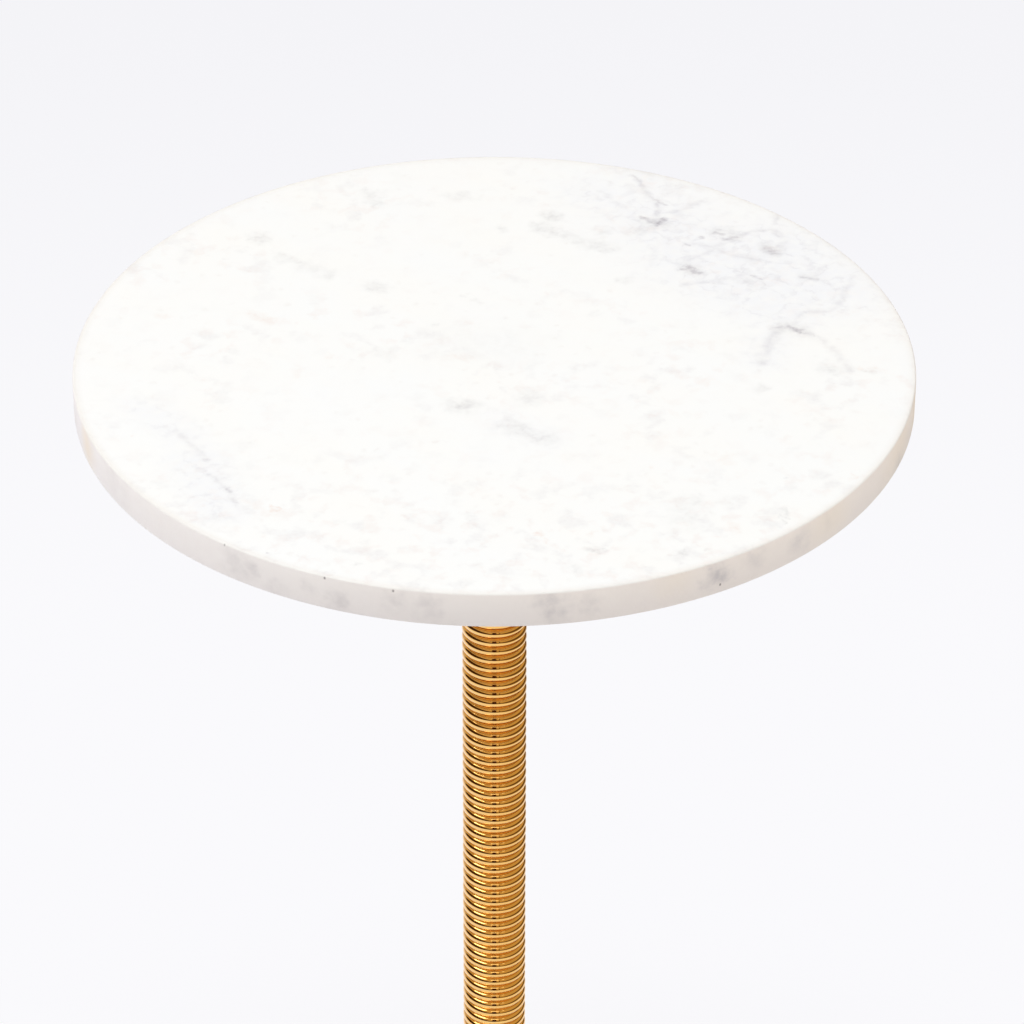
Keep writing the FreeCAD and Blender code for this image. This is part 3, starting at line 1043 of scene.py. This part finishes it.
def soft_light(name, place, aim, width, height, glow, tilt=0.0, in_metal=True):
    """A soft box: its glow is the brightness of its face, where 1 is white."""
    lamp = bpy.data.lights.new(name, "AREA")
    lamp.shape = "RECTANGLE"
    lamp.size = width
    lamp.size_y = height
    lamp.energy = glow * math.pi * width * height
    box = bpy.data.objects.new(name, lamp)
    bpy.context.scene.collection.objects.link(box)
    box.location = place
    turn = (Vector(aim) - Vector(place)).to_track_quat("-Z", "Y")
    box.rotation_euler = (turn @ Quaternion((0, 0, 1), math.radians(tilt))).to_euler()
    box.visible_camera = False
    box.visible_glossy = in_metal


soft_light("light_above", (0, 0.8, 4.0), (0, 0.8, 0), 4.0, 4.0, glow=1.17, in_metal=False)
soft_light("light_left", (-3.30, -1.20, 5.55), (0, 0, 0.38), 3.85, 2.31, glow=4.3, tilt=10.0)
soft_light("light_right", (0.86, -1.10, 1.90), (0, 0, 0.38), 0.24, 0.24, glow=1.1)
soft_light("light_behind", (0.05, -1.30, 1.80), (0, 0, 0.25), 0.75, 0.25, glow=1.9)
for name, place, glow in (
    ("light_low_right", (2.04, -1.085, 0.95), 1.4),
    ("light_low_left", (-2.23, -0.60, 0.95), 0.8),
):
    soft_light(name, place, (0, 0, 0.50), 2.0, 1.2, glow, in_metal=False)

stand_distance = 1.7
stand_black, tree, shader, place = new_finish("stand_black")
feed(tree, shader, {
    "Base Color": (0.055, 0.012, 0.004, 1),
    "Roughness": 1.0,
    "Specular IOR Level": 0.0,
})


def dark_stand(name, x, width, bottom, top):
    """An upright black card behind the camera, which only the polished metal sees."""
    middle = (x, -stand_distance, (bottom + top) / 2)
    bpy.ops.object.select_all(action="DESELECT")
    bpy.ops.mesh.primitive_plane_add(size=1, location=middle, rotation=(math.pi / 2, 0, 0))
    card = bpy.context.object
    card.name = name
    card.scale = (width, top - bottom, 1)
    bpy.ops.object.transform_apply(location=True, rotation=True, scale=True)
    card.data.materials.append(stand_black)
    card.visible_camera = False
    card.visible_diffuse = False
    card.visible_shadow = False


dark_stand("camera_stand", x=0.0, width=0.44, bottom=0.15, top=2.2)
dark_stand("lamp_stand", x=0.55, width=0.09, bottom=0.20, top=1.5)

low_wall_left = (0.045, 0.017, 0.003)
low_wall_right = (0.070, 0.030, 0.006)
high_wall_left = (0.66, 0.49, 0.27)
high_wall_right = (0.58, 0.41, 0.19)
room_grey = (0.43, 0.43, 0.43)
room = bpy.data.worlds.new("studio_room")
bpy.context.scene.world = room
room.use_nodes = True
tree = room.node_tree
way = add_node(tree, "ShaderNodeTexCoord").outputs["Generated"]
sideways, forward, upward = add_node(tree, "ShaderNodeSeparateXYZ", {0: way}).outputs
side = between(tree, sideways, -0.80, 0.50)
low_wall = tint(tree, side, low_wall_left, low_wall_right)
back_left = product(tree, between(tree, forward, 0.32, 0.55), between(tree, sideways, 0.2, -0.2))
low_wall = tint(tree, back_left, low_wall, room_pale)
high_wall = tint(tree, side, high_wall_left, high_wall_right)
falling = between(tree, sideways, -1.0, 0.05)
behind = product(tree, between(tree, forward, 0.15, 0.60), between(tree, sideways, 0.35, 0.0))
dark_to = times(tree, ranged(tree, falling, 0.50, 0.02), behind, 1.0, 0.2)
light_from = times(tree, ranged(tree, falling, 0.68, 0.28), behind, 1.0, 0.5)
wall = tint(tree, between(tree, upward, dark_to, light_from), low_wall, high_wall)
path = add_node(tree, "ShaderNodeLightPath").outputs
room_light = tint(tree, path["Is Glossy Ray"], room_grey, wall)
room_seen = tint(tree, path["Is Camera Ray"], room_light, far_white)
feed(tree, tree.nodes["Background"], {"Color": room_seen, "Strength": 1.0})
bpy.context.scene.view_settings.view_transform = "Standard"


# The camera stands well back with a long lens and looks down on the slab at 33 degrees,
# framed so that the foot is out of view.
picture_width = 1024
sensor_width = 36.0
lens_pixels = 5000.0
look_down = math.radians(32.91)
roll = math.radians(0.143)
aim_right = -0.0418 * slab_radius * mm
aim_up = 0.3614 * slab_radius * mm
distance = 11.877 * slab_radius * mm
right = Vector((1, 0, 0))
up = Vector((0, math.sin(look_down), math.cos(look_down)))
ahead = Vector((0, math.cos(look_down), -math.sin(look_down)))
camera_right = math.cos(roll) * right + math.sin(roll) * up
camera_up = math.cos(roll) * up - math.sin(roll) * right
slab_middle = Vector((0, 0, slab_top * mm))
stand_point = slab_middle - aim_right * camera_right - aim_up * camera_up - distance * ahead
camera = bpy.data.objects.new("camera", bpy.data.cameras.new("camera"))
bpy.context.scene.collection.objects.link(camera)
camera.data.sensor_width = sensor_width
camera.data.lens = lens_pixels / picture_width * sensor_width
camera.matrix_world = Matrix((
    (camera_right.x, camera_up.x, -ahead.x, stand_point.x),
    (camera_right.y, camera_up.y, -ahead.y, stand_point.y),
    (camera_right.z, camera_up.z, -ahead.z, stand_point.z),
    (0, 0, 0, 1),
))
bpy.context.scene.camera = camera
